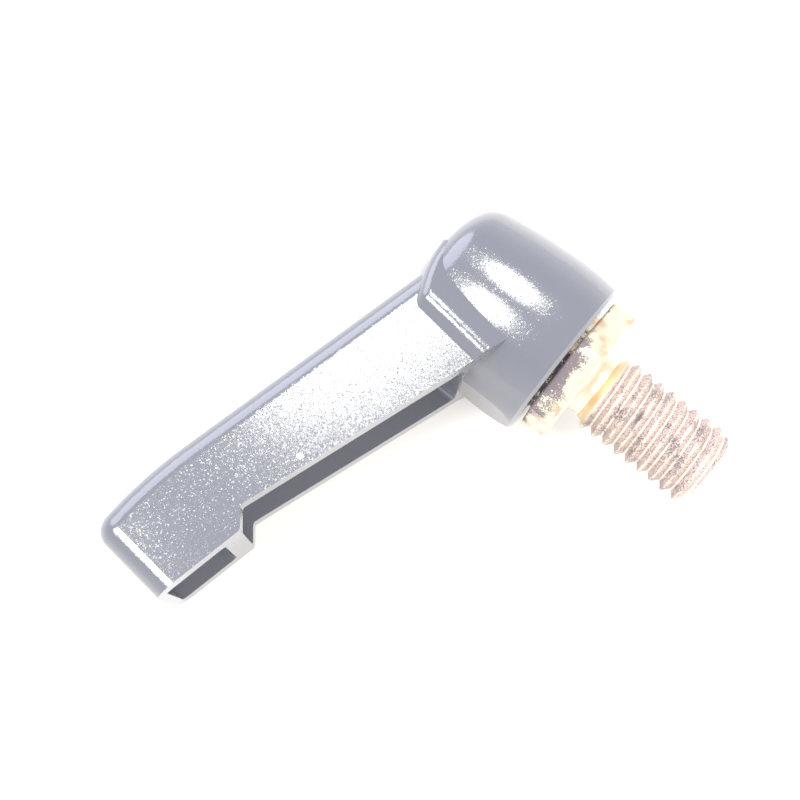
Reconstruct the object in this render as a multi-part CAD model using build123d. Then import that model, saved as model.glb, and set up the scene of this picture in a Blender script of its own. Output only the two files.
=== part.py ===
from build123d import *
import math
import os

# A lever hand screw: a one-piece die-cast lever handle, cast round a one-piece turned
# steel stud with a hexagonal collar and a 5/16-18 UNC thread. All lengths are millimetres.
#
# The pieces are modelled in a working frame and laid down on their side at the end.
# Working frame: Z is the stud's axis with the thread pointing down, z = 0 is the plane of
# the hub's rim, and the lever reaches out towards -X and rises away from the rim.

# Hub of the handle: a crowned barrel with a shallow domed back
hub_rim_radius = 8.2
hub_crown_radius = 8.5
hub_crown_height = 3.5
hub_back_radius = 7.5
hub_back_height = 14.0
hub_height = 16.2
hub_back_edge_ease = 1.5
hub_rim_chamfer = 0.3

# Lever in side view, heights above the rim plane and reaches from the stud's axis
arm_reach = 40.05
arm_back_axis_height = 13.85
arm_back_slope = 12.8
arm_back_bend_reach = 29.0
arm_back_tip_drop = 1.5
arm_bottom_root_height = 5.5
arm_bottom_slope = 18.0
arm_end_lean = 4.4

# Lever in plan view, half widths
arm_root_half_width = 7.0
arm_tip_half_width = 6.4
arm_back_edge_round = 1.8
arm_end_edge_round = 2.0

# Swelling at the root, where the lever runs into the hub
root_crest_reach = 6.4
root_crest_half_width = 7.95
root_foot_reach = 7.6
root_ramp_slope = 14.5
root_lean = 6.0
root_dome_radius = 16.5
root_crest_round = 1.3
root_back_round = 1.1
buried_margin = 0.6

# Finger stop: the deeper lobe at the end of the lever
lobe_reach = 31.4
lobe_ramp_length = 1.6
lobe_bottom_height = 11.75
lobe_bottom_slope = 11.3
lobe_corner_round = 0.45

# Hollow underside: side walls, roof, and the walls that close the channel and the pocket
side_wall = 2.0
roof_wall = 2.0
channel_root_reach = 8.2
cross_wall = 1.8
end_wall = 0.85
inside_corner_round = 0.5

# Stud: shank inside the hub, hexagonal collar, relief and thread
shank_radius = 4.5
shank_length = 10.0
shank_groove_depth = 0.6
shank_groove_width = 1.6
shank_end_chamfer = 0.4
cast_clearance = 0.02
collar_neck_radius = 5.4
collar_neck_height = 0.3
collar_sides = 6
collar_across_flats = 12.7
collar_height = 2.6
collar_corner_chamfer = 0.2
collar_chamfer_angle = 30.0
collar_turn = 27.0
relief_radius = 3.15
relief_length = 1.2
thread_major_diameter = 7.94
stud_length = 13.5
thread_end_chamfer = 0.75

# Values that follow from the sizes above
tiny = 0.01
upright_lean = 25.0
root_buried_reach = root_foot_reach + buried_margin
collar_top = -collar_neck_height
collar_seat = collar_top - collar_height
stud_end = collar_seat - stud_length
past_everything = 2 * (arm_reach + hub_height)
arm_back_rise = math.tan(math.radians(arm_back_slope)) * arm_reach
arm_back_tip_height = arm_back_axis_height + arm_back_rise - arm_back_tip_drop


def arm_bottom_height(reach):
    """Height of the lever's lower edge at a reach from the stud's axis."""
    rise = math.tan(math.radians(arm_bottom_slope))
    return arm_bottom_root_height + rise * (reach - root_crest_reach)


def lobe_height(reach):
    """Height of the finger stop's lower edge at a reach from the stud's axis."""
    return lobe_bottom_height + math.tan(math.radians(lobe_bottom_slope)) * (reach - lobe_reach)


def arm_half_width(reach):
    """Half width of the lever's flank at a reach from the stud's axis."""
    share = (reach - root_foot_reach) / (arm_reach - root_foot_reach)
    return arm_root_half_width + share * (arm_tip_half_width - arm_root_half_width)


def arm_end_reach(height):
    """Reach of the lever's end face, which leans in towards its back."""
    return arm_reach - math.tan(math.radians(arm_end_lean)) * (height - lobe_height(arm_reach))


def arm_back(drop):
    """The lever's back in side view, lowered by a drop: straight from the axis, then bent level."""
    slope = math.radians(arm_back_slope)
    bend_height = arm_back_axis_height + math.tan(slope) * arm_back_bend_reach
    tip_reach = arm_end_reach(arm_back_tip_height)
    straight = Line((0, arm_back_axis_height - drop), (-arm_back_bend_reach, bend_height - drop))
    bend = TangentArc(
        straight @ 1,
        (-tip_reach, arm_back_tip_height - drop),
        tangent=(-math.cos(slope), math.sin(slope)),
    )
    return [straight, bend]


def side_view(outline):
    """A solid stretched evenly to both sides from a closed outline in the plane y = 0."""
    return extrude(Plane.XZ * make_face(outline), amount=past_everything, both=True)


def turned(profile):
    """A solid of revolution about the stud's axis, from a face of radius and height."""
    return revolve(Plane.XZ * profile, Axis.Z)


def plan_face(points):
    """A level face on an outline that is mirrored across the lever's middle plane."""
    mirrored = [(x, -y) for x, y in reversed(points)]
    return make_face(Polyline(*points, *mirrored, close=True))


def polygon(*corners):
    """A closed side-view outline of straight lines through its corners."""
    return Polyline(*corners, close=True)


def lever_side():
    """The lever seen from the side: sloping back, leaning end, finger stop and sloping underside."""
    straight, bend = arm_back(0)
    step_reach = lobe_reach - lobe_ramp_length
    corners = Polyline(
        bend @ 1,
        (-arm_reach, lobe_height(arm_reach)),
        (-lobe_reach, lobe_bottom_height),
        (-step_reach, arm_bottom_height(step_reach)),
        (0, arm_bottom_height(0)),
        straight @ 0,
    )
    return side_view(Curve() + [straight, bend, corners])


def level_edges(solid, reach, height):
    """The edges that run straight across a solid at one reach and height."""
    across = solid.edges().filter_by(Axis.Y)
    return across.filter_by(
        lambda edge: math.hypot(edge.center().X + reach, edge.center().Z - height) < tiny
    )


def upright_edges(solid):
    """The edges of a solid that stand upright, or lean by less than the upright lean."""
    least_rise = math.cos(math.radians(upright_lean))
    return solid.edges().filter_by(lambda edge: abs(edge.tangent_at(0.5).Z) > least_rise)


def lever_arm():
    """The lever's straight-sided arm, still solid, with its step, end and back rounded."""
    step_reach = lobe_reach - lobe_ramp_length
    side = lever_side()
    side = fillet(
        level_edges(side, lobe_reach, lobe_bottom_height)
        + level_edges(side, step_reach, arm_bottom_height(step_reach)),
        lobe_corner_round,
    )
    plan = plan_face([(0, arm_half_width(0)), (-past_everything, arm_half_width(past_everything))])
    arm = side & extrude(plan, amount=past_everything)
    end_corners = upright_edges(arm).filter_by(lambda edge: edge.center().X < -lobe_reach)
    arm = fillet(end_corners, arm_end_edge_round)
    return fillet(back_rim(arm), arm_back_edge_round)


def back_rim(arm):
    """The edges round the arm's back, along both flanks and across its end."""
    level = arm.edges().filter_by(Axis.Y)
    end = level.filter_by(lambda edge: edge.center().X < -arm_back_bend_reach - tiny)
    across = level - end.sort_by(Axis.Z)[-1:]
    backs = arm.faces().sort_by(Axis.Z)[-2:]
    return backs.edges() - across


def root_swelling():
    """The root of the lever: a rounded crest each side and a ramp to the hub, closed by a dome.

    The dome is a sphere whose poles lie out to the sides, clear of the hub's top.
    """
    ramp = math.tan(math.radians(root_ramp_slope))
    foot_slope = (root_crest_half_width - arm_root_half_width) / (root_foot_reach - root_crest_reach)
    plan = plan_face(
        [
            (0, root_crest_half_width - ramp * root_crest_reach),
            (-root_crest_reach, root_crest_half_width),
            (-root_buried_reach, arm_root_half_width - foot_slope * (root_buried_reach - root_foot_reach)),
        ]
    )
    crests = plan.vertices().filter_by(lambda corner: abs(corner.X + root_crest_reach) < tiny)
    plan = fillet(crests, root_crest_round)
    lean = math.radians(root_lean)
    low = Pos(0, 0, arm_bottom_height(root_crest_reach)) * plan
    leaning = extrude(low, amount=past_everything, dir=(math.sin(lean), 0, math.cos(lean)), both=True)
    above_bottom = polygon(
        (0, arm_bottom_height(0)),
        (0, past_everything),
        (-root_buried_reach, past_everything),
        (-root_buried_reach, arm_bottom_height(root_buried_reach)),
    )
    dome = Pos(0, 0, hub_height - root_dome_radius) * Sphere(root_dome_radius, rotation=(90, 0, 0))
    swelling = leaning & side_view(above_bottom) & dome
    back = swelling.faces().filter_by(GeomType.SPHERE)
    rim = back.edges().filter_by(lambda edge: abs(edge.center().Y) > tiny)
    return fillet(rim, root_back_round)


def hub():
    """The crowned barrel with its shallow domed back, turned about the stud's axis."""
    crown = (hub_crown_radius, hub_crown_height)
    back_corner = (hub_back_radius, hub_back_height)
    rim_corner = (hub_rim_radius, 0)
    side = TangentArc(crown, back_corner, tangent=(0, 1))
    dome = TangentArc((0, hub_height), back_corner, tangent=(1, 0))
    side = side.trim(0, 1 - hub_back_edge_ease / side.length)
    dome = dome.trim(0, 1 - hub_back_edge_ease / dome.length)
    outline = Curve() + [
        side,
        Bezier(side @ 1, back_corner, dome @ 1),
        dome,
        TangentArc(crown, rim_corner, tangent=(0, -1)),
        Polyline((0, hub_height), (0, 0), rim_corner),
    ]
    profile = make_face(outline)
    profile = chamfer(profile.vertices().sort_by_distance(rim_corner)[0], hub_rim_chamfer)
    return turned(profile)


def shank(clearance):
    """The part of the stud inside the hub, with its retaining groove, grown by a clearance."""
    radius = shank_radius + clearance
    top = shank_length + clearance
    groove_low = (shank_length - shank_groove_width) / 2 + clearance
    groove_high = (shank_length + shank_groove_width) / 2 - clearance
    groove_radius = shank_radius - shank_groove_depth + clearance
    outline = polygon(
        (0, 0),
        (radius, 0),
        (radius, groove_low),
        (groove_radius, groove_low),
        (groove_radius, groove_high),
        (radius, groove_high),
        (radius, top - shank_end_chamfer),
        (radius - shank_end_chamfer, top),
        (0, top),
    )
    return turned(make_face(outline))


def hollow(inner_reach, end_reach_low, end_reach_high):
    """The space inside the lever's side walls and roof, open below, between two reaches.

    The reach of its outer end is given twice, level with the rim plane and with the back's tip.
    """
    straight, bend = arm_back(roof_wall)
    under_roof = Curve() + [
        straight,
        bend,
        Polyline(bend @ 1, (-arm_end_reach(0), 0), (0, 0), straight @ 0),
    ]
    span = polygon(
        (-inner_reach, 0),
        (-end_reach_low, 0),
        (-end_reach_high, arm_back_tip_height),
        (-inner_reach, arm_back_tip_height),
    )
    plan = plan_face(
        [
            (0, arm_half_width(0) - side_wall),
            (-past_everything, arm_half_width(past_everything) - side_wall),
        ]
    )
    space = side_view(under_roof) & side_view(span) & extrude(plan, amount=past_everything)
    return fillet(upright_edges(space), inside_corner_round)


def channel():
    """The long hollow under the arm, from the solid root to the cross wall."""
    return hollow(channel_root_reach, lobe_reach, lobe_reach)


def pocket():
    """The short hollow in the finger stop, from the cross wall to the end wall."""
    end_reach_low = arm_end_reach(0) - end_wall
    end_reach_high = arm_end_reach(arm_back_tip_height) - end_wall
    return hollow(lobe_reach + cross_wall, end_reach_low, end_reach_high)


def lever_handle():
    """The whole handle casting: hub, root and arm, hollow below and cast round the shank."""
    handle = hub() + root_swelling() + lever_arm()
    handle = handle - channel() - pocket()
    return handle - shank(cast_clearance)


def collar():
    """The hexagonal collar, its corners chamfered on both faces."""
    hexagon = RegularPolygon(collar_across_flats / 2, collar_sides, major_radius=False)
    corner_radius = hexagon.vertices()[0].center().length
    prism = extrude(Plane.XY.offset(collar_seat) * hexagon, amount=collar_height)
    prism = prism.rotate(Axis.Z, collar_turn)
    chamfer_run = collar_corner_chamfer / math.tan(math.radians(collar_chamfer_angle))
    outline = polygon(
        (0, collar_seat),
        (corner_radius - chamfer_run, collar_seat),
        (corner_radius, collar_seat + collar_corner_chamfer),
        (corner_radius, collar_top - collar_corner_chamfer),
        (corner_radius - chamfer_run, collar_top),
        (0, collar_top),
    )
    return prism & turned(make_face(outline))


def threaded_stud():
    """The turned stud: shank, seating neck, collar, relief and the thread at its major diameter."""
    thread_radius = thread_major_diameter / 2
    outline = polygon(
        (0, 0),
        (collar_neck_radius, 0),
        (collar_neck_radius, collar_top),
        (relief_radius, collar_top),
        (relief_radius, collar_seat - relief_length),
        (thread_radius, collar_seat - relief_length),
        (thread_radius, stud_end + thread_end_chamfer),
        (thread_radius - thread_end_chamfer, stud_end),
        (0, stud_end),
    )
    spindle = turned(make_face(outline))
    return shank(0) + spindle + collar()


def laid_down(pieces):
    """The pieces as the screw rests on its side, on the hub's crown and the lever's end.

    The stud's axis lies level, the thread points to +X, and the screw is turned about that
    axis until the flank of the lever's end touches the surface that the hub lies on.
    """
    end_reach = arm_reach - arm_end_edge_round
    rest_turn = math.degrees(math.asin((hub_crown_radius - arm_half_width(end_reach)) / end_reach))
    side_down = Plane(origin=(0, 0, 0), x_dir=(0, 1, 0), z_dir=(-1, 0, 0)).location
    laid = [side_down * piece.rotate(Axis.Z, -rest_turn) for piece in pieces]
    box = laid[0].bounding_box()
    for piece in laid[1:]:
        box = box.add(piece.bounding_box())
    to_origin = Location((-box.center().X, -box.center().Y, -box.min.Z))
    return [to_origin * piece for piece in laid]


names = ["lever_handle", "threaded_stud"]
solids = laid_down([lever_handle(), threaded_stud()])
os.makedirs("parts", exist_ok=True)
for name, solid in zip(names, solids):
    export_step(solid, f"parts/{name}.step")
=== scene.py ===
import logging
import math
from dataclasses import dataclass, field
from enum import Enum

import bpy
import numpy as np
from mathutils import Matrix, Vector


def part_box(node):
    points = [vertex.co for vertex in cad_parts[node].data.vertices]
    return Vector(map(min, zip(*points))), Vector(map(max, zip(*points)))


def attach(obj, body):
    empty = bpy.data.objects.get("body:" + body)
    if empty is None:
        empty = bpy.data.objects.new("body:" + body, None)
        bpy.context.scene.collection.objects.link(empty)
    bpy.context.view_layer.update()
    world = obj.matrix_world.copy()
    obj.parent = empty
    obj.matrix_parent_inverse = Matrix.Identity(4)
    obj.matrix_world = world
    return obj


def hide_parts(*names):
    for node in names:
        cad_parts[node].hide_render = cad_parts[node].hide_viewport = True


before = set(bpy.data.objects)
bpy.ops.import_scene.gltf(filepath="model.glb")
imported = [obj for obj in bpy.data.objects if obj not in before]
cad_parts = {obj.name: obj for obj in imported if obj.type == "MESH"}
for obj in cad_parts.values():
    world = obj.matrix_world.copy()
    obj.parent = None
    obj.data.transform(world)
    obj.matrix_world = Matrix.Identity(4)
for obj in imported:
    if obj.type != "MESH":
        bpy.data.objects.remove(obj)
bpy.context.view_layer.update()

# The looks of a clamp lever screw: a black-coated die-cast lever handle, cast round a turned
# steel stud with a yellow zinc plated hexagonal collar and a rusty coarse thread.
# Sizes are in millimetres and are turned to metres where they go into a mesh or a node.

log = logging.getLogger("clamp_lever_screw")
MM = 0.001
SMOOTH = "SMOOTHSTEP"


class Body(Enum):
    """The rigid bodies of the screw. It has no joints, so there is only one."""

    ROOT = "root"


class Slot(Enum):
    """The record's material slots."""

    COATED_CASTING = "coated_casting"
    PLATED_STEEL = "plated_steel"


class StudZone(Enum):
    """The finish of each stretch of the stud, as the number of its material."""

    PLATED = 0
    RUSTED = 1


def linear(hex_colour: str) -> tuple[float, float, float, float]:
    """Turns an sRGB hex colour into a linear one, by the standard sRGB curve.

    Args:
        hex_colour: The colour as six hexadecimal digits after a hash.

    Returns:
        Red, green, blue and an alpha of 1, as linear values.
    """
    parts = [int(hex_colour[i : i + 2], 16) / 255 for i in (1, 3, 5)]
    red, green, blue = [c / 12.92 if c <= 0.04045 else ((c + 0.055) / 1.055) ** 2.4 for c in parts]
    return red, green, blue, 1.0


def add_node(
    tree: bpy.types.NodeTree,
    kind: str,
    inputs: dict[str | int, object] | None = None,
    **settings: object,
) -> bpy.types.Node:
    """Adds one node with its settings, and fills or links its inputs.

    Args:
        tree: The node tree that the node goes into.
        kind: Blender's name of the node's class, less the words that all of them begin with.
        inputs: Input name or number to a value, to an output socket to link from, or to a
            node, which stands for its first output in use.
        settings: The node's own attributes.

    Returns:
        The new node.
    """
    node = tree.nodes.new(f"ShaderNode{kind}")
    for name, value in settings.items():
        setattr(node, name, value)
    for name, value in (inputs or {}).items():
        if isinstance(value, bpy.types.Node):
            value = next(output for output in value.outputs if output.enabled)
        if isinstance(value, bpy.types.NodeSocket):
            tree.links.new(value, node.inputs[name])
        else:
            node.inputs[name].default_value = value
    return node


def scale_of(size_mm: float) -> float:
    """Turns the real size of a pattern's lumps, in millimetres, to a texture's scale."""
    return 1 / (size_mm * MM)


def new_material(name: str) -> tuple[bpy.types.Material, bpy.types.NodeTree]:
    """Makes an empty node material.

    Args:
        name: The common name of the real material.

    Returns:
        The material and its node tree.
    """
    material = bpy.data.materials.new(name)
    material.use_nodes = True
    material.node_tree.nodes.clear()
    return material, material.node_tree


@dataclass(frozen=True)
class PowderCoat:
    """Black epoxy-polyester powder coat with a fine texture, baked on zinc die casting.

    The powder's grains melt into a skin of tiny domes, so a soft light has a sparkling,
    broken edge in it, while the coat stays dark between its reflections. A chip on the
    flank shows the pale zinc under it.
    """

    colour: str = "#2D2F37"
    zinc: str = "#C9C7C2"
    roughness: float = 0.13
    ior: float = 1.47
    # Drawn about as coarse as a pixel of the photograph, as finer grains wouldn't show.
    grain_mm: float = 0.08
    facet_tilt: float = 0.22
    sparkle_tilt: float = 24.0
    chip_place: tuple[float, float, float] = (-9.43, -7.96, 13.92)
    chip_radius: float = 0.28
    # Where the ragged distance passes from coat to zinc, in chip radii.
    chip_edge: tuple[float, float] = (1.6, 1.4)

    def grain_normal(self, tree: bpy.types.NodeTree, place: bpy.types.NodeSocket) -> bpy.types.Node:
        """Tilts the surface's normal at random from grain to grain.

        Each grain takes three random numbers from -0.5 to 0.5. Their cubes and their ninth
        powers, each times its tilt, are added to the surface's normal. So most grains lie
        nearly flat and a few stand out and sparkle.

        Args:
            tree: The coat's node tree.
            place: The place on the handle.

        Returns:
            The node that gives the tilted normal.
        """
        grains = add_node(tree, "TexVoronoi", {"Vector": place, "Scale": scale_of(self.grain_mm)})
        surface = add_node(tree, "NewGeometry").outputs["Normal"]
        middle = (0.5, 0.5, 0.5)
        random = grains.outputs["Color"]
        centred = add_node(tree, "VectorMath", {0: random, 1: middle}, operation="SUBTRACT")
        square = add_node(tree, "VectorMath", {0: centred, 1: centred}, operation="MULTIPLY")
        cube = add_node(tree, "VectorMath", {0: square, 1: centred}, operation="MULTIPLY")
        sixth = add_node(tree, "VectorMath", {0: cube, 1: cube}, operation="MULTIPLY")
        share = add_node(
            tree,
            "VectorMath",
            {0: sixth, 1: [self.sparkle_tilt] * 3, 2: [self.facet_tilt] * 3},
            operation="MULTIPLY_ADD",
        )
        tilted = add_node(tree, "VectorMath", {0: cube, 1: share, 2: surface}, operation="MULTIPLY_ADD")
        return add_node(tree, "VectorMath", {0: tilted}, operation="NORMALIZE")

    def chip_share(self, tree: bpy.types.NodeTree, place: bpy.types.NodeSocket) -> bpy.types.Node:
        """Gives 1 on the chip and 0 on the coat.

        A fine noise times the chip's radius is added to the distance from the chip's middle,
        so that the chip's edge is ragged.

        Args:
            tree: The coat's node tree.
            place: The place on the handle.

        Returns:
            The node that gives the share.
        """
        radius = self.chip_radius * MM
        pattern = {"Vector": place, "Scale": scale_of(self.grain_mm), "Detail": 1.0}
        fray = add_node(tree, "TexNoise", pattern)
        middle = Vector(self.chip_place) * MM
        away = add_node(tree, "VectorMath", {0: place, 1: middle}, operation="DISTANCE")
        ragged = add_node(tree, "Math", {0: fray, 1: radius, 2: away}, operation="MULTIPLY_ADD")
        coated, bare = self.chip_edge
        limits = {"Value": ragged, "From Min": coated * radius, "From Max": bare * radius}
        return add_node(tree, "MapRange", limits, interpolation_type=SMOOTH)

    def material(self) -> bpy.types.Material:
        """Makes the coat, a dark dielectric with tilted grains, and the metal of the chip.

        Returns:
            The material.
        """
        material, tree = new_material("Fine-textured black powder coat on zinc")
        place = add_node(tree, "TexCoord").outputs["Object"]
        chipped = self.chip_share(tree, place)
        layers = {"Factor": chipped, "A": linear(self.colour), "B": linear(self.zinc)}
        colour = add_node(tree, "Mix", layers, data_type="RGBA")
        shader = add_node(
            tree,
            "BsdfPrincipled",
            {
                "Base Color": colour,
                "Metallic": chipped,
                "Roughness": self.roughness,
                "IOR": self.ior,
                "Normal": self.grain_normal(tree, place),
            },
        )
        add_node(tree, "OutputMaterial", {"Surface": shader})
        return material


@dataclass(frozen=True)
class YellowZinc:
    """Yellow chromated zinc plate on turned steel.

    The chromate film gives a pale gold that drifts to orange. Next to the hub lies a dark
    purple-brown band, part real oxide on the film and part painted reflection and shade of the
    black hub, with a ragged edge, and specks of the same colour thin out from there. Reaches
    run from the hub's rim.
    """

    gold: str = "#E4D8AC"
    orange: str = "#BF936C"
    clean: str = "#D8C8A2"
    # The dark band by the hub: part real oxide, part painted reflection and shade of the black hub.
    oxide_and_hub_reflection: str = "#2E2029"
    roughness: float = 0.33
    # Roughness and metal of the dark band, which is part oxide and part painted reflection of the hub.
    dark_band_roughness: float = 0.7
    dark_band_metal: float = 0.15
    drift_mm: float = 2.4
    drift_limits: tuple[float, float] = (0.47, 0.67)
    # Drawn as coarse as a pixel of the photograph, as finer specks wouldn't show.
    speck_mm: float = 0.1
    speck_roughness: float = 0.6
    speck_height: float = 0.008
    patch_mm: float = 1.3
    patch_weight: float = 1.1
    # The dark band's push by the hub, where the hub's painted reflection and shade lie with the oxide,
    # grows from nothing to its full size between these reaches.
    dark_band_reaches: tuple[float, float] = (2.79, 0.45)
    dark_band_push: float = 0.5
    # The direction of the side that the dark band, with its painted reflection of the hub, is held to,
    # two places along it, and the push at each.
    band_side: tuple[float, float, float] = (0.0, -0.8, 0.6)
    band_side_places: tuple[float, float] = (-6.6, -1.4)
    band_side_pushes: tuple[float, float] = (-0.42, 0.03)
    # Where the sum passes into the dark band of oxide and painted reflection of the hub.
    dark_band_limits: tuple[float, float] = (1.26, 1.36)
    clean_reaches: tuple[float, float] = (2.8, 3.1)

    def dark_band_share(
        self,
        tree: bpy.types.NodeTree,
        place: bpy.types.NodeSocket,
        along: bpy.types.NodeSocket,
        specks: bpy.types.Node,
        rim: float,
    ) -> bpy.types.Node:
        """Gives 1 in the dark band of oxide and painted hub reflection, and 0 where the film is sound.

        The dark band is where a sum passes its limits: the fine noise, the coarse noise times
        its weight, a push that grows towards the hub, and a push that grows towards the side
        where the hub's painted reflection lies.

        Args:
            tree: The plate's node tree.
            place: The place on the stud.
            along: The place along the stud's axis.
            specks: The fine noise.
            rim: The place of the hub's rim plane along X, in millimetres.

        Returns:
            The node that gives the share.
        """
        pattern = {"Vector": place, "Scale": scale_of(self.patch_mm), "Detail": 2.0}
        patches = add_node(tree, "TexNoise", pattern)
        far, near = self.dark_band_reaches
        by_hub = add_node(
            tree,
            "MapRange",
            {
                "Value": along,
                "From Min": (rim + far) * MM,
                "From Max": (rim + near) * MM,
                "To Max": self.dark_band_push,
            },
        )
        band_way = Vector(self.band_side).normalized()
        sideways = add_node(tree, "VectorMath", {0: place, 1: band_way}, operation="DOT_PRODUCT")
        sound_place, band_place = self.band_side_places
        sound_push, band_push = self.band_side_pushes
        by_side = add_node(
            tree,
            "MapRange",
            {
                "Value": sideways,
                "From Min": sound_place * MM,
                "From Max": band_place * MM,
                "To Min": sound_push,
                "To Max": band_push,
            },
        )
        noises = {0: patches, 1: self.patch_weight, 2: specks}
        crowd = add_node(tree, "Math", noises, operation="MULTIPLY_ADD")
        for push in (by_hub, by_side):
            crowd = add_node(tree, "Math", {0: crowd, 1: push}, operation="ADD")
        sound, dark_band = self.dark_band_limits
        limits = {"Value": crowd, "From Min": sound, "From Max": dark_band}
        return add_node(tree, "MapRange", limits, interpolation_type=SMOOTH)

    def film_colour(
        self,
        tree: bpy.types.NodeTree,
        place: bpy.types.NodeSocket,
        along: bpy.types.NodeSocket,
        rim: float,
    ) -> bpy.types.Node:
        """Gives the sound film's colour: gold that drifts to orange, and paler past the collar.

        Args:
            tree: The plate's node tree.
            place: The place on the stud.
            along: The place along the stud's axis.
            rim: The place of the hub's rim plane along X, in millimetres.

        Returns:
            The node that gives the colour.
        """
        pattern = {"Vector": place, "Scale": scale_of(self.drift_mm), "Detail": 2.0}
        drift = add_node(tree, "TexNoise", pattern)
        starts, ends = [(rim + reach) * MM for reach in self.clean_reaches]
        colour = linear(self.gold)
        for value, low, high, layer in (
            (drift, *self.drift_limits, self.orange),
            (along, starts, ends, self.clean),
        ):
            limits = {"Value": value, "From Min": low, "From Max": high}
            share = add_node(tree, "MapRange", limits, interpolation_type=SMOOTH)
            layers = {"Factor": share, "A": colour, "B": linear(layer)}
            colour = add_node(tree, "Mix", layers, data_type="RGBA")
        return colour

    def material(self, rim: float) -> bpy.types.Material:
        """Makes the plate: a metal whose colour drifts, with a rough dark band by the hub,
        which is part oxide and part painted reflection and shade of the black hub.

        Args:
            rim: The place of the hub's rim plane along X, in millimetres.

        Returns:
            The material.
        """
        material, tree = new_material("Yellow zinc plated steel")
        place = add_node(tree, "TexCoord").outputs["Object"]
        along = add_node(tree, "SeparateXYZ", {0: place}).outputs["X"]
        pattern = {"Vector": place, "Scale": scale_of(self.speck_mm), "Detail": 2.0}
        specks = add_node(tree, "TexNoise", pattern | {"Roughness": self.speck_roughness})
        # The dark band by the hub: part oxide, part painted reflection and shade of the black hub.
        dark_band = self.dark_band_share(tree, place, along, specks, rim)
        film = self.film_colour(tree, place, along, rim)
        layers = {"Factor": dark_band, "A": film, "B": linear(self.oxide_and_hub_reflection)}
        colour = add_node(tree, "Mix", layers, data_type="RGBA")
        metals = {"Value": dark_band, "To Min": 1.0, "To Max": self.dark_band_metal}
        metal = add_node(tree, "MapRange", metals)
        sheens = {"Value": dark_band, "To Min": self.roughness, "To Max": self.dark_band_roughness}
        sheen = add_node(tree, "MapRange", sheens)
        height = self.speck_height * MM
        relief = add_node(tree, "Bump", {"Height": specks, "Distance": height, "Strength": 1.0})
        shader = add_node(
            tree,
            "BsdfPrincipled",
            {"Base Color": colour, "Metallic": metal, "Roughness": sheen, "Normal": relief},
        )
        add_node(tree, "OutputMaterial", {"Surface": shader})
        return material


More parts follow.
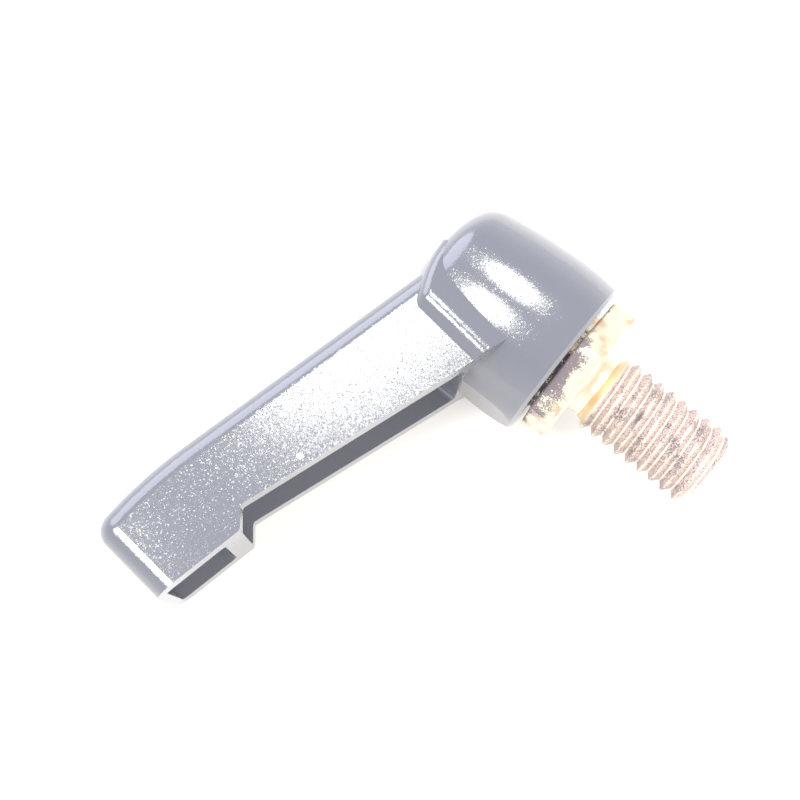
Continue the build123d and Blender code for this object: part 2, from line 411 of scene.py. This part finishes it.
@dataclass(frozen=True)
class RustedThread:
    """Rolled steel thread that keeps its plate on the crests and has rusted between them.

    The crests are thin pale lines, the flanks hold gritty red-brown rust with deep brown
    patches, and the groove's root has a broken pale line, which is a painted highlight. The
    first turn by the collar still has its yellow plate, and one spot has turned black. Reaches
    run from the hub's rim.
    """

    # Also the colour of the painted highlight along the groove's root.
    crest: str = "#BBAE90"
    plate: str = "#C2A07C"
    rust: str = "#52302C"
    pale_rust: str = "#9C7F76"
    deep_rust: str = "#261A1C"
    black: str = "#1B1618"
    roughness: float = 0.4
    rusted_roughness: float = 0.75
    rusted_metal: float = 0.1
    # Drawn a little coarser than a pixel of the photograph, as finer rust wouldn't show.
    grit_mm: float = 0.14
    grit_roughness: float = 0.65
    grit_height: float = 0.02
    patch_mm: float = 1.6
    patch_weight: float = 0.8
    depth_weight: float = 1.6
    plate_limits: tuple[float, float] = (0.1, 0.5)
    rust_limits: tuple[float, float] = (0.84, 1.02)
    grit_limits: tuple[float, float] = (0.44, 0.56)
    deep_limits: tuple[float, float] = (0.85, 1.1)
    # Where the painted highlight along the groove's root lies, and where it breaks.
    root_highlight_limits: tuple[float, float] = (0.95, 1.0)
    root_highlight_breaks: tuple[float, float] = (1.1, 0.95)
    plated_reaches: tuple[float, float] = (4.6, 5.2)
    black_place: tuple[float, float, float] = (11.1, 14.6, 11.85)
    black_radius: float = 1.0
    # How much more a distance along each axis counts, so that the spot is narrow along X.
    black_squeeze: tuple[float, float, float] = (3.2, 1.0, 1.0)
    # The fray, and where its distance passes from rust to black, in radii of the spot.
    black_fray: float = 4.0
    black_edge: tuple[float, float] = (2.9, 2.5)

    def black_distance(
        self, tree: bpy.types.NodeTree, place: bpy.types.NodeSocket, grit: bpy.types.Node
    ) -> bpy.types.Node:
        """Gives the squeezed distance from the black spot's middle, plus the grit's fray.

        Args:
            tree: The thread's node tree.
            place: The place on the stud.
            grit: The fine noise.

        Returns:
            The node that gives the distance, in metres.
        """
        middle = Vector(self.black_place) * MM
        beside = add_node(tree, "VectorMath", {0: place, 1: middle}, operation="SUBTRACT")
        squeezed = add_node(tree, "VectorMath", {0: beside, 1: self.black_squeeze}, operation="MULTIPLY")
        away = add_node(tree, "VectorMath", {0: squeezed}, operation="LENGTH")
        fray = self.black_fray * self.black_radius * MM
        return add_node(tree, "Math", {0: grit, 1: fray, 2: away}, operation="MULTIPLY_ADD")

    def shares(
        self, tree: bpy.types.NodeTree, place: bpy.types.NodeSocket, grit: bpy.types.Node, rim: float
    ) -> dict[str, bpy.types.Node]:
        """Works out how much of each state of the metal there is at each point.

        Each share rises smoothly from 0 to 1 between two limits of a value. The values are
        the groove's depth, the fine noise, that noise plus the coarse one times its weight,
        this sum plus the depth times its weight, and the place.

        Args:
            tree: The thread's node tree.
            place: The place on the stud.
            grit: The fine noise.
            rim: The place of the hub's rim plane along X, in millimetres.

        Returns:
            The node of each share, by the state's name.
        """
        along = add_node(tree, "SeparateXYZ", {0: place}).outputs["X"]
        depth = add_node(tree, "Attribute", attribute_name="groove_depth").outputs["Fac"]
        pattern = {"Vector": place, "Scale": scale_of(self.patch_mm), "Detail": 2.0}
        patches = add_node(tree, "TexNoise", pattern)
        roughly = {0: patches, 1: self.patch_weight, 2: grit}
        uneven = add_node(tree, "Math", roughly, operation="MULTIPLY_ADD")
        deeply = {0: depth, 1: self.depth_weight, 2: uneven}
        eaten = add_node(tree, "Math", deeply, operation="MULTIPLY_ADD")
        values = {
            "plated": (depth, *self.plate_limits),
            "eaten": (eaten, *self.rust_limits),
            "past plate": (along, *((rim + reach) * MM for reach in self.plated_reaches)),
            "gritty": (grit, *self.grit_limits),
            "deep": (uneven, *self.deep_limits),
            # The painted highlight along the groove's root.
            "root": (depth, *self.root_highlight_limits),
            "root highlight unbroken": (uneven, *self.root_highlight_breaks),
            "black": (
                self.black_distance(tree, place, grit),
                *(share * self.black_radius * MM for share in self.black_edge),
            ),
        }
        shares = {}
        for name, (value, low, high) in values.items():
            limits = {"Value": value, "From Min": low, "From Max": high}
            shares[name] = add_node(tree, "MapRange", limits, interpolation_type=SMOOTH)
        for name, first, second in (
            ("rusted", "eaten", "past plate"),
            ("deep rusted", "deep", "rusted"),
            ("painted root highlight", "root", "root highlight unbroken"),
        ):
            both = {0: shares[first], 1: shares[second]}
            shares[name] = add_node(tree, "Math", both, operation="MULTIPLY")
        return shares

    def material(self, rim: float) -> bpy.types.Material:
        """Makes the thread's metal, which reads how deep each point lies from an attribute.

        Each layer of colour lies over the ones before it, by its share.

        Args:
            rim: The place of the hub's rim plane along X, in millimetres.

        Returns:
            The material.
        """
        material, tree = new_material("Rusted rolled steel thread")
        place = add_node(tree, "TexCoord").outputs["Object"]
        pattern = {"Vector": place, "Scale": scale_of(self.grit_mm), "Detail": 3.0}
        grit = add_node(tree, "TexNoise", pattern | {"Roughness": self.grit_roughness})
        shares = self.shares(tree, place, grit, rim)
        layers = {"Factor": shares["gritty"], "A": linear(self.pale_rust), "B": linear(self.rust)}
        gritty_rust = add_node(tree, "Mix", layers, data_type="RGBA")
        colour = linear(self.crest)
        for name, layer in (
            ("plated", linear(self.plate)),
            ("rusted", gritty_rust),
            ("deep rusted", linear(self.deep_rust)),
            # A painted highlight along the groove's root, in the crest's colour.
            ("painted root highlight", linear(self.crest)),
            ("black", linear(self.black)),
        ):
            layers = {"Factor": shares[name], "A": colour, "B": layer}
            colour = add_node(tree, "Mix", layers, data_type="RGBA")
        rusted = shares["rusted"]
        metals = {"Value": rusted, "To Min": 1.0, "To Max": self.rusted_metal}
        metal = add_node(tree, "MapRange", metals)
        sheens = {"Value": rusted, "To Min": self.roughness, "To Max": self.rusted_roughness}
        sheen = add_node(tree, "MapRange", sheens)
        height = self.grit_height * MM
        relief = add_node(tree, "Bump", {"Height": grit, "Distance": height, "Strength": 1.0})
        shader = add_node(
            tree,
            "BsdfPrincipled",
            {"Base Color": colour, "Metallic": metal, "Roughness": sheen, "Normal": relief},
        )
        add_node(tree, "OutputMaterial", {"Surface": shader})
        return material


@dataclass(frozen=True)
class FloorPaper:
    """Matt pale background paper, which gives a plain pale ground."""

    colour: str = "#C4C3C2"
    roughness: float = 0.9
    specular: float = 0.2

    def material(self) -> bpy.types.Material:
        """Makes the paper: an even, matt, pale grey, which the lights turn white.

        Returns:
            The material.
        """
        material, tree = new_material("Matt pale background paper")
        shader = add_node(
            tree,
            "BsdfPrincipled",
            {
                "Base Color": linear(self.colour),
                "Roughness": self.roughness,
                "Specular IOR Level": self.specular,
            },
        )
        add_node(tree, "OutputMaterial", {"Surface": shader})
        return material


@dataclass
class LeverHandle:
    """The die-cast lever handle. Its solid has the real shape, so it only gets its coat."""

    node: str = "lever_handle"
    slot: Slot = Slot.COATED_CASTING
    coat: PowderCoat = field(default_factory=PowderCoat)

    def dress(self) -> bpy.types.Object:
        """Puts the coat on the solid.

        Returns:
            The handle's object.
        """
        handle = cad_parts[self.node]
        coat = self.coat.material()
        for material_slot in handle.material_slots:
            material_slot.material = coat
        return handle


@dataclass
class ThreadedStud:
    """The turned stud: shank, neck, hexagonal collar, relief and rolled thread.

    Reaches run along the stud's axis from the hub's rim plane towards the free end.
    """

    node: str = "threaded_stud"
    slot: Slot = Slot.PLATED_STEEL
    shank_radius: float = 4.5
    shank_length: float = 10.0
    shank_chamfer: float = 0.4
    groove_radius: float = 3.9
    groove_width: float = 1.6
    neck_radius: float = 5.4
    neck_height: float = 0.3
    across_flats: float = 12.7
    collar_height: float = 2.6
    collar_turn: float = -23.9
    corner_chamfer: float = 0.2
    chamfer_slope: float = 30.0
    edge_ease: float = 0.12
    # The collar's edge row by row, in eases: along the axis, in from the flats and the cone.
    ease_steps: tuple[tuple[float, float, float], ...] = (
        (0.0, 3.0, 2.0),
        (0.3, 1.0, 0.0),
        (1.0, 0.3, -2.0),
        (2.0, 0.0, -2.0),
    )
    relief_radius: float = 3.15
    relief_length: float = 1.2
    relief_ease: float = 0.15
    major_radius: float = 3.97
    # Six turns per diameter, which is the photograph's proportion.
    pitch: float = 1.3233
    thread_depth: float = 0.6
    crest_flat: float = 0.1
    root_flat: float = 0.14
    first_phase: float = 0.73
    run_in_slope: float = 1.2
    stud_length: float = 13.5
    end_chamfer: float = 0.75
    # The depth that the rust reads on the flat face of the free end.
    end_depth: float = 0.6
    row_step: float = 0.05
    columns: int = 192
    sharp_angle: float = 32.0
    weld_distance: float = 0.001
    plate: YellowZinc = field(default_factory=YellowZinc)
    rust: RustedThread = field(default_factory=RustedThread)

    @property
    def seat(self) -> float:
        """The reach of the collar's far face."""
        return self.neck_height + self.collar_height

    @property
    def thread_start(self) -> float:
        """The reach at which the thread starts, past the relief."""
        return self.seat + self.relief_length

    @property
    def free_end(self) -> float:
        """The reach of the stud's free end."""
        return self.seat + self.stud_length

    @property
    def corner_radius(self) -> float:
        """The radius to the hexagon's sharp corners."""
        return self.across_flats / 2 / math.cos(math.radians(30))

    def collar_radius(self, angle: np.ndarray) -> np.ndarray:
        """Works out the hexagon's radius at each angle round the axis.

        The radius to a flat is the apothem over the cosine of the angle from the flat's
        middle. The corner is eased by holding that radius below a slightly smaller circle.

        Args:
            angle: Angles round the axis, in radians.

        Returns:
            The radii, in millimetres.
        """
        sector = math.radians(60)
        from_flat = (angle - math.radians(self.collar_turn)) % sector - sector / 2
        return np.minimum(self.across_flats / 2 / np.cos(from_flat), self.corner_radius - self.edge_ease)

    def groove_depth(self, reach: np.ndarray, angle: np.ndarray) -> np.ndarray:
        """Works out how deep the thread lies under its crest, as a share from 0 to 1.

        The turn's phase is the reach less a pitch for each turn round the axis. Within a
        pitch the depth is 0 on the crest's flat, 1 on the root's flat and between them, on
        both flanks, the mean of a straight line and a smooth step.

        Args:
            reach: Reaches along the axis, in millimetres.
            angle: Angles round the axis, in radians.

        Returns:
            The depth's share at each point.
        """
        phase = (reach / self.pitch - angle / (2 * math.pi) + self.first_phase) % 1.0
        from_crest = np.minimum(phase, 1.0 - phase) * self.pitch
        flank = (self.pitch - self.crest_flat - self.root_flat) / 2
        share = np.clip((from_crest - self.crest_flat / 2) / flank, 0.0, 1.0)
        return 0.5 * share + 0.5 * share * share * (3 - 2 * share)

    @staticmethod
    def turned_rows(
        profile: list[tuple[float, float]], angle: np.ndarray
    ) -> tuple[np.ndarray, np.ndarray]:
        """Carries a profile round the axis, with the same reach and radius at every angle.

        Args:
            profile: Reach and radius of each row.
            angle: Angles round the axis, in radians.

        Returns:
            The reach and the radius at each row and angle.
        """
        reach, radius = np.array(profile).T
        return reach[:, None] + 0 * angle, radius[:, None] + 0 * angle

    def shank_rows(self, angle: np.ndarray) -> tuple[np.ndarray, np.ndarray]:
        """Turns the shank inside the hub, from its closed end to the rim plane, and the neck.

        Args:
            angle: Angles round the axis, in radians.

        Returns:
            The reach and the radius at each row and angle.
        """
        groove_starts = -(self.shank_length + self.groove_width) / 2
        groove_ends = -(self.shank_length - self.groove_width) / 2
        profile = [
            (-self.shank_length, 0.0),
            (-self.shank_length, self.shank_radius - self.shank_chamfer),
            (-self.shank_length + self.shank_chamfer, self.shank_radius),
            (groove_starts, self.shank_radius),
            (groove_starts, self.groove_radius),
            (groove_ends, self.groove_radius),
            (groove_ends, self.shank_radius),
            (0.0, self.shank_radius),
            (0.0, self.neck_radius),
            (self.neck_height, self.neck_radius),
        ]
        return self.turned_rows(profile, angle)

    def collar_rows(self, angle: np.ndarray) -> tuple[np.ndarray, np.ndarray]:
        """Shapes the hexagonal collar, chamfered and eased at both faces.

        Each row's radius is the lesser of two: the hexagon's less the row's step in from the
        flats, and the corner's less the chamfer's run and the row's step in from the cone.

        Args:
            angle: Angles round the axis, in radians.

        Returns:
            The reach and the radius at each row and angle.
        """
        steps = np.array(self.ease_steps) * self.edge_ease
        along, in_flats, in_cone = np.vstack([steps, steps[::-1]]).T[:, :, None]
        run = self.corner_chamfer / math.tan(math.radians(self.chamfer_slope))
        near_face = np.arange(len(along))[:, None] < len(steps)
        reach = np.where(near_face, self.neck_height + along, self.seat - along)
        radius = np.minimum(self.collar_radius(angle) - in_flats, self.corner_radius - (run + in_cone))
        return reach + 0 * angle, radius

    def thread_rows(self, angle: np.ndarray) -> tuple[np.ndarray, np.ndarray]:
        """Turns the relief, the helical thread and the chamfered free end.

        The thread's radius is the major radius less the groove's depth, and at both ends it
        is held inside a cone, so that the turns run out as they do on a turned screw.

        Args:
            angle: Angles round the axis, in radians.

        Returns:
            The reach and the radius at each row and angle.
        """
        seat, start, end = self.seat, self.thread_start, self.free_end
        reach = np.linspace(start, end, int((end - start) / self.row_step))[:, None] + 0 * angle
        radius = self.major_radius - self.thread_depth * self.groove_depth(reach, angle)
        start_cone = self.relief_radius + self.run_in_slope * (reach - start)
        end_cone = self.major_radius - self.end_chamfer + (end - reach)
        radius = np.minimum(radius, np.minimum(end_cone, start_cone))
        ease = self.relief_ease
        relief = [(seat, self.relief_radius + ease), (seat + ease, self.relief_radius)]
        before, after = self.turned_rows(relief, angle), self.turned_rows([(end, 0.0)], angle)
        return np.vstack([before[0], reach, after[0]]), np.vstack([before[1], radius, after[1]])

    def finish(self, mesh: bpy.types.Mesh, reach: np.ndarray, angle: np.ndarray, rim: float) -> None:
        """Gives the skin its two materials, the depth that the rust reads, and its shading.

        Args:
            mesh: The stud's mesh.
            reach: The reach at each row and angle.
            angle: Angles round the axis, in radians.
            rim: The place of the hub's rim plane along X, in millimetres.
        """
        mesh.materials.append(self.plate.material(rim))
        mesh.materials.append(self.rust.material(rim))
        in_thread = reach[:-1].reshape(-1) >= self.thread_start
        zones = np.where(in_thread, StudZone.RUSTED.value, StudZone.PLATED.value)
        mesh.polygons.foreach_set("material_index", zones.astype(np.int32))
        depth = np.where(reach < self.free_end, self.groove_depth(reach, angle), self.end_depth)
        stored = mesh.attributes.new("groove_depth", "FLOAT", "POINT")
        stored.data.foreach_set("value", depth.reshape(-1).astype(np.float32))
        mesh.validate()
        mesh.polygons.foreach_set("use_smooth", np.ones(len(mesh.polygons), bool))
        mesh.set_sharp_from_angle(angle=math.radians(self.sharp_angle))

    def build(self) -> bpy.types.Object:
        """Puts the three stretches together as one closed skin round the axis.

        A point lies at its reach along X, and off the axis by its radius times the cosine of
        its angle along Y and the sine of it along Z. Each face joins two neighbouring rows
        and two neighbouring columns, and the last column joins the first.

        Returns:
            The stud's object, with its place in its mesh.
        """
        low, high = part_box(self.node)
        rim = high.x / MM - self.free_end
        middle = (low + high) / 2 / MM
        angle = np.linspace(0, 2 * math.pi, self.columns, endpoint=False)
        stretches = [self.shank_rows(angle), self.collar_rows(angle), self.thread_rows(angle)]
        reach, radius = [np.vstack(grids) for grids in zip(*stretches)]
        points = np.stack(
            [rim + reach, middle.y + radius * np.cos(angle), middle.z + radius * np.sin(angle)], axis=-1
        )
        row, column = np.mgrid[0 : len(reach) - 1, 0 : self.columns]
        corner = row * self.columns
        beyond = corner + self.columns
        after = (column + 1) % self.columns
        faces = np.stack([corner + column, corner + after, beyond + after, beyond + column], axis=-1)
        mesh = bpy.data.meshes.new("threaded_stud_turned")
        mesh.from_pydata((points.reshape(-1, 3) * MM).tolist(), [], faces.reshape(-1, 4).tolist())
        self.finish(mesh, reach, angle, rim)
        stud = bpy.data.objects.new("threaded_stud_turned", mesh)
        bpy.context.collection.objects.link(stud)
        weld = stud.modifiers.new("close the poles", "WELD")
        weld.merge_threshold = self.weld_distance * MM
        return stud

    def dress(self) -> bpy.types.Object:
        """Builds the stud and lets it stand for its plain solid.

        Returns:
            The stud's object.
        """
        stud = self.build()
        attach(stud, Body.ROOT.value)
        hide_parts(self.node)
        return stud


@dataclass(frozen=True)
class Softbox:
    """A soft oval light above the screw.

    Its place is given as two angles from straight up, seen from the hub: one towards +Y
    and one towards +X, and its size as the angles that it spans.
    """

    name: str
    towards_y: float
    towards_x: float
    span_y: float
    span_x: float
    radiance: float
    colour: str = "#FFFFFF"
    distance: float = 1600.0

    def hang(self, target: Vector) -> None:
        """Hangs the light at its distance from a target, facing it.

        The power is the radiance times pi and the sides of the rectangle round the oval.

        Args:
            target: The place that the light faces, in metres.
        """
        y, x = math.radians(self.towards_y), math.radians(self.towards_x)
        direction = Vector((math.sin(x), math.sin(y) * math.cos(x), math.cos(y) * math.cos(x)))
        lamp = bpy.data.lights.new(self.name, "AREA")
        lamp.shape = "ELLIPSE"
        lamp.size = 2 * self.distance * MM * math.tan(math.radians(self.span_x / 2))
        lamp.size_y = 2 * self.distance * MM * math.tan(math.radians(self.span_y / 2))
        lamp.energy = self.radiance * math.pi * lamp.size * lamp.size_y
        lamp.color = linear(self.colour)[:3]
        holder = bpy.data.objects.new(self.name, lamp)
        across = Vector((1, 0, 0)) - direction * direction.x
        across.normalize()
        turn = Matrix((across, direction.cross(across), direction)).transposed()
        place = target + direction * self.distance * MM
        holder.matrix_world = Matrix.Translation(place) @ turn.to_4x4()
        bpy.context.collection.objects.link(holder)


@dataclass
class Studio:
    """The pale paper, the soft lights and the camera at the photograph's angle."""

    paper: FloorPaper = field(default_factory=FloorPaper)
    floor_half_width: float = 3000.0
    room_colour: str = "#F0F0F6"
    # The room fades from one strength to the other between these heights of a direction.
    room_heights: tuple[float, float] = (0.1, 0.6)
    room_strengths: tuple[float, float] = (2.4, 1.1)
    hub_middle: tuple[float, float, float] = (-6.0, 15.87, 16.0)
    lights: tuple[Softbox, ...] = (
        Softbox("window light by the lever", -26.0, -16.0, 28.0, 13.5, 38.0),
        Softbox("window light behind the hub", 15.0, -14.2, 27.0, 14.5, 40.0),
        Softbox("pale wall beside the back", 15.0, -56.0, 60.0, 40.0, 7.5, "#DCE2FF"),
        Softbox("white card by the channel", -10.0, 64.0, 80.0, 44.0, 10.0, "#FFF8EC"),
    )
    camera_place: tuple[float, float, float] = (5.483, -22.679, 100.311)
    camera_right: tuple[float, float, float] = (0.77345, 0.62981, 0.07155)
    camera_up: tuple[float, float, float] = (-0.62079, 0.72985, 0.28624)
    lens: float = 47.08
    sensor_width: float = 36.0
    clip: tuple[float, float] = (5.0, 20000.0)
    # The photograph is overexposed, and this gives its pale darks.
    gamma: float = 1.75

    def lay_floor(self) -> None:
        """Lays a flat sheet of paper at the height that the screw lies on."""
        half = self.floor_half_width * MM
        corners = [(-half, -half, 0), (half, -half, 0), (half, half, 0), (-half, half, 0)]
        mesh = bpy.data.meshes.new("paper floor")
        mesh.from_pydata(corners, [], [(0, 1, 2, 3)])
        mesh.materials.append(self.paper.material())
        floor = bpy.data.objects.new("paper floor", mesh)
        bpy.context.collection.objects.link(floor)

    def fill_room(self) -> None:
        """Fills the room with a dim light that is paler near the horizon than overhead."""
        world = bpy.data.worlds.new("studio room")
        world.use_nodes = True
        tree = world.node_tree
        tree.nodes.clear()
        way = add_node(tree, "TexCoord").outputs["Generated"]
        height = add_node(tree, "SeparateXYZ", {0: way}).outputs["Z"]
        low, high = self.room_heights
        at_low, at_high = self.room_strengths
        glow = add_node(
            tree,
            "MapRange",
            {"Value": height, "From Min": low, "From Max": high, "To Min": at_low, "To Max": at_high},
        )
        background = add_node(tree, "Background", {"Color": linear(self.room_colour), "Strength": glow})
        add_node(tree, "OutputWorld", {"Surface": background})
        bpy.context.scene.world = world

    def place_camera(self) -> None:
        """Sets the camera where the photograph was taken from."""
        right, up = Vector(self.camera_right).normalized(), Vector(self.camera_up).normalized()
        back = right.cross(up).normalized()
        turn = Matrix((right, back.cross(right), back)).transposed()
        lens = bpy.data.cameras.new("camera")
        lens.lens = self.lens
        lens.sensor_width = self.sensor_width
        lens.clip_start, lens.clip_end = [distance * MM for distance in self.clip]
        camera = bpy.data.objects.new("camera", lens)
        camera.matrix_world = Matrix.Translation(Vector(self.camera_place) * MM) @ turn.to_4x4()
        bpy.context.collection.objects.link(camera)
        bpy.context.scene.camera = camera

    def set_up(self) -> None:
        """Lays the floor, fills the room, hangs the lights and sets the camera and the view."""
        self.lay_floor()
        self.fill_room()
        for light in self.lights:
            light.hang(Vector(self.hub_middle) * MM)
        self.place_camera()
        view = bpy.context.scene.view_settings
        view.view_transform = "Standard"
        view.gamma = self.gamma


def main() -> None:
    """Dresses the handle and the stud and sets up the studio."""
    logging.basicConfig(level=logging.INFO, format="%(name)s: %(message)s")
    for part in (LeverHandle(), ThreadedStud()):
        piece = part.dress()
        log.info("%s: %s, %d faces", piece.name, part.slot.value, len(piece.data.polygons))
    studio = Studio()
    studio.set_up()
    log.info("studio: %d lights", len(studio.lights))


if __name__ == "__main__":
    main()
